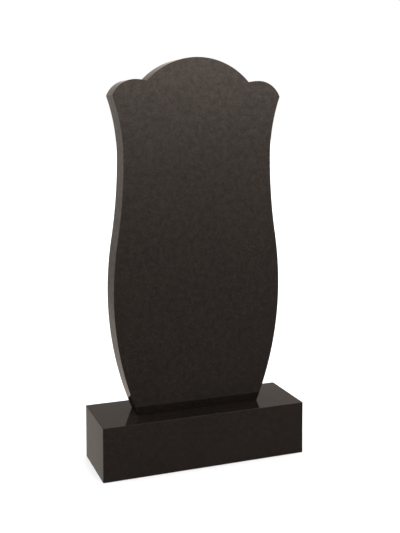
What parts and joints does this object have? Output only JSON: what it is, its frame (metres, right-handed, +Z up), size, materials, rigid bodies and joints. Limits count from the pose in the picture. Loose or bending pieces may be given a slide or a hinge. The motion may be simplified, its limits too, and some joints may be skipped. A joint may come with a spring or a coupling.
{
  "type": "headstone",
  "caption": "Upright polished granite stele with a waisted outline, a central arch and a rounded lobe on each side, standing on a rectangular plinth.",
  "frame": {"origin": "middle of the plinth's underside, which rests on the ground or a foundation slab", "axes": "+Z up, -Y the front face for the inscription, +X to the right as seen from the front"},
  "size_m": [0.6, 0.2, 1.1503],
  "materials": {
    "polished_granite": "dark brown-grey fine-grained granite, mirror polished"
  },
  "bodies": {
    "root": {"plinth": "polished_granite", "stele": "polished_granite"}
  },
  "joints": []
}
